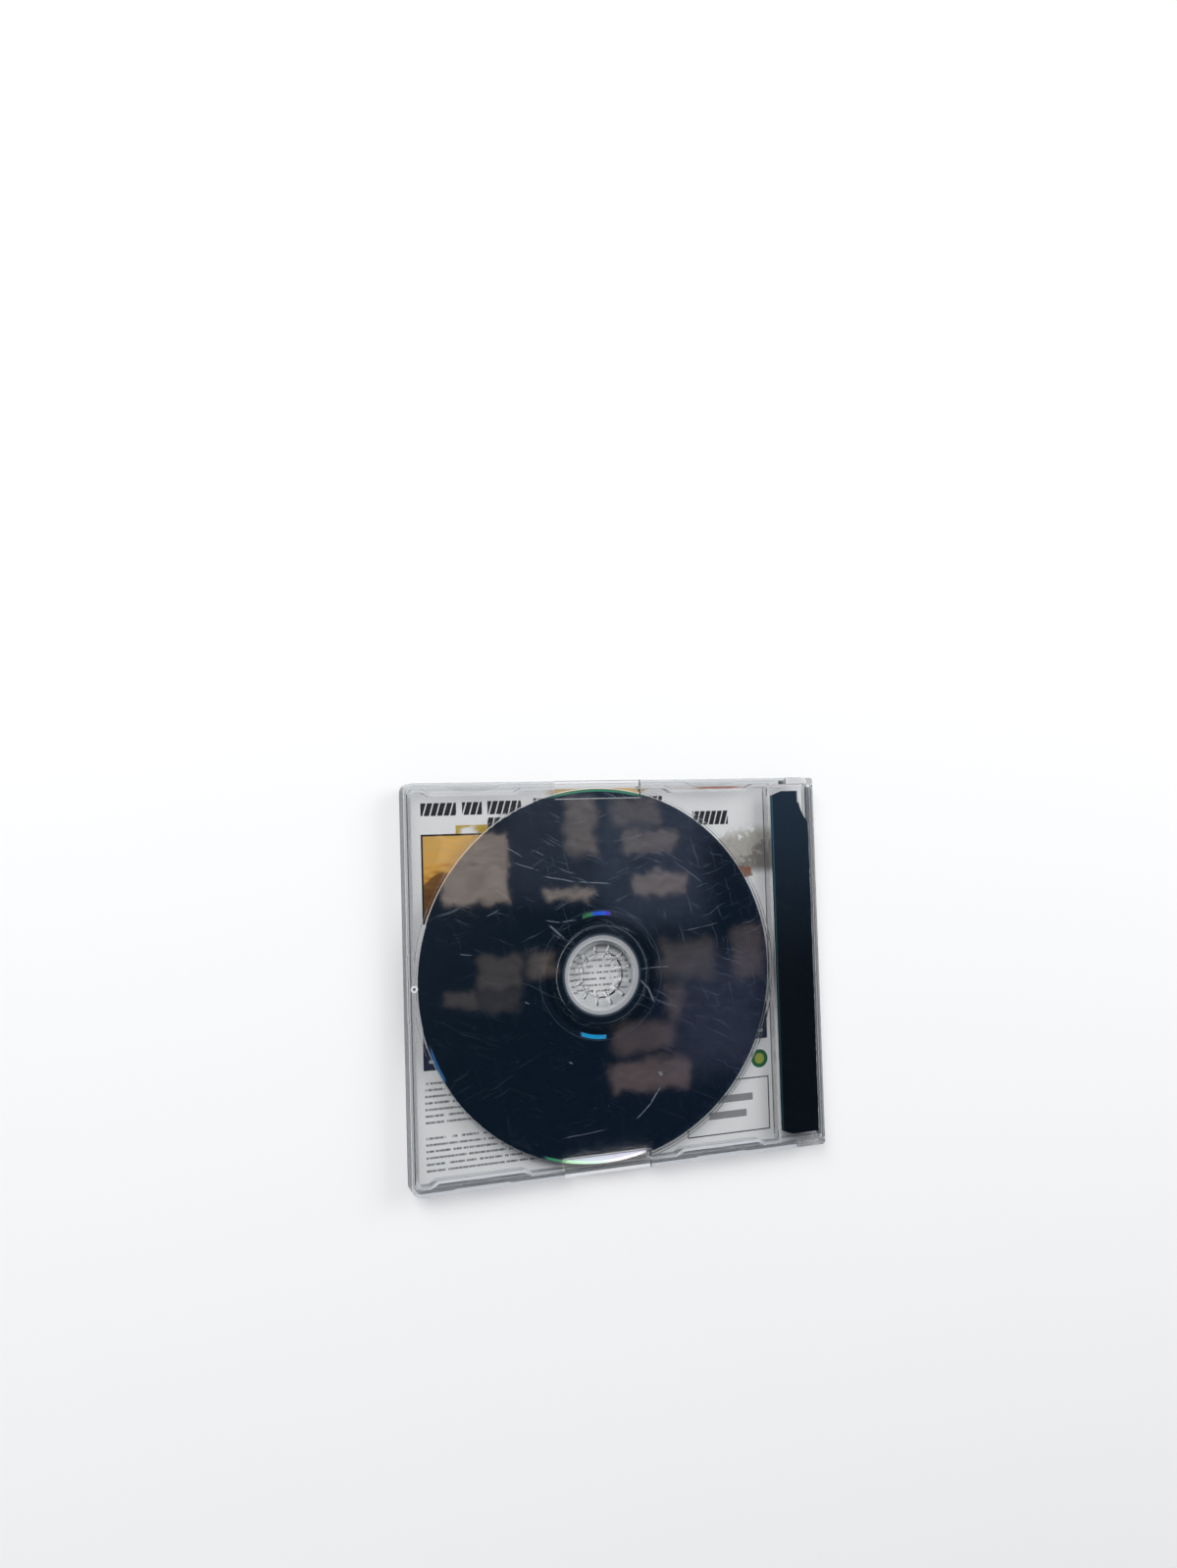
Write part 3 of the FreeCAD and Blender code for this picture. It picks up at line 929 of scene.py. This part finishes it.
sweep = table.node("Emission", {}, {"Color": backdrop_tone, "Strength": 1.0})
table_sweep = table.node("MixShader", {}, {0: table_far, 1: table_paint, 2: sweep})
table.node("OutputMaterial", {}, {"Surface": table_sweep})
floor = add_piece("table", floor_mesh, [table_material])

world = bpy.data.worlds.new("studio")
world.use_nodes = True
world.node_tree.nodes.clear()
sky = Wire(world.node_tree)
direction = sky.node("TexCoord", output="Generated")
height = part_of(direction, "Z")
horizon_tone = (0.84, 0.85, 0.87, 1)
overhead_tone = (0.15, 0.155, 0.17, 1)
flag_tone = (0.018, 0.034, 0.052, 1)
strip_tone = (4.4, 3.8, 2.9, 1)
flag = (0.40, -0.30, 0.87)
towards_flag = sky.node(
    "VectorMath", {"operation": "DOT_PRODUCT"}, {0: direction, 1: flag}, "Value"
)
surround = paint(soft_step(height, 0.06, 0.22), horizon_tone, overhead_tone)
surround = paint(soft_step(towards_flag, 0.86, 0.99), surround, flag_tone)
over = larger(height, 0.05)
wobble = noise_at(direction, 90.0, 5.0)
along = part_of(direction, "X") / over
aside = part_of(direction, "Y") / over
strip = span(along, 0.326, 0.332, 0.406, 0.412)
strip = strip * span(aside, -0.304, -0.300, -0.293, -0.290)
along = along + 0.020 * wobble - 0.010
aside = aside + 0.010 - 0.020 * wobble
streaks = sky.node("CombineXYZ", {}, {0: along * 45.0, 1: aside * 330.0})
streaks = noise_at(streaks, 1.0, 4.0)
uneven = soft_step(height, 0.6, 0.7) * (0.20 + 1.6 * streaks)


def glow_at(left, right, low, high, soft):
    """A soft-edged pane of light, placed by where it is mirrored in the disc."""
    return (
        span(along, left - soft, left + soft, right - soft, right + soft)
        * span(aside, low - soft, low + soft, high - soft, high + soft)
    )


warm = (1.0, 0.69, 0.50, 1)
cool = (0.64, 0.62, 0.74, 1)
warm_panes = [
    (0.225, 0.285, -0.062, -0.002, 0.84, 0.003),
    (0.340, 0.368, -0.022, 0.030, 0.46, 0.005),
    (0.384, 0.432, 0.002, 0.028, 0.30, 0.006),
    (0.394, 0.448, -0.023, -0.003, 0.42, 0.004),
    (0.404, 0.456, -0.062, -0.041, 0.52, 0.003),
    (0.319, 0.364, -0.0625, -0.052, 0.72, 0.003),
    (0.254, 0.295, -0.138, -0.108, 0.20, 0.004),
    (0.226, 0.253, -0.151, -0.138, 0.20, 0.004),
    (0.254, 0.295, -0.157, -0.140, 0.12, 0.005),
    (0.300, 0.326, -0.130, -0.107, 0.28, 0.005),
    (0.376, 0.452, -0.239, -0.212, 0.30, 0.005),
    (0.379, 0.440, -0.203, -0.179, 0.21, 0.006),
    (0.432, 0.449, -0.176, -0.145, 0.22, 0.006),
    (0.502, 0.533, -0.143, -0.095, 0.20, 0.007),
    (0.427, 0.482, -0.139, -0.106, 0.20, 0.008),
]
cool_panes = [
    (0.440, 0.530, -0.225, -0.120, 0.12, 0.025),
    (0.375, 0.475, -0.090, 0.030, 0.15, 0.020),
    (0.285, 0.385, -0.060, 0.040, 0.09, 0.015),
]
for panes, tone in ((warm_panes, warm), (cool_panes, cool)):
    for left, right, low, high, strength, soft in panes:
        glow = glow_at(left, right, low, high, soft) * uneven * strength
        surround = paint(glow, surround, tone)
surround = paint(strip, surround, strip_tone)
surround = paint(sky.node("LightPath", output="Is Camera Ray"), surround, backdrop_tone)
background = sky.node("Background", {}, {"Color": surround, "Strength": 1.0})
sky.node("OutputWorld", {}, {"Surface": background})
bpy.context.scene.world = world

for name, place_at, size, power, mirrored in (
    ("key_softbox", (-0.90, 1.10, 1.20), 1.0, 33.0, False),
    ("fill_softbox", (1.25, 0.55, 0.85), 0.9, 17.0, False),
    ("spark_lamp", (-0.60, 1.20, 1.10), 0.16, 1.6, True),
):
    lamp = bpy.data.lights.new(name, "AREA")
    lamp.size = size
    lamp.energy = power
    softbox = bpy.data.objects.new(name, lamp)
    softbox.location = place_at
    softbox.visible_glossy = mirrored
    softbox.visible_transmission = mirrored
    softbox.rotation_euler = (-Vector(place_at)).to_track_quat("-Z", "Y").to_euler()
    bpy.context.collection.objects.link(softbox)

camera = bpy.data.objects.new("camera", bpy.data.cameras.new("camera"))
camera_turn = (2.7752, -19.8513, -1.7660)
camera.data.lens = 27.034
camera.data.clip_start = 0.01
camera.location = (-0.13970, 0.04697, 0.36177)
camera.rotation_euler = [math.radians(turn) for turn in camera_turn]
bpy.context.collection.objects.link(camera)
bpy.context.scene.camera = camera
bpy.context.scene.view_settings.view_transform = "Standard"
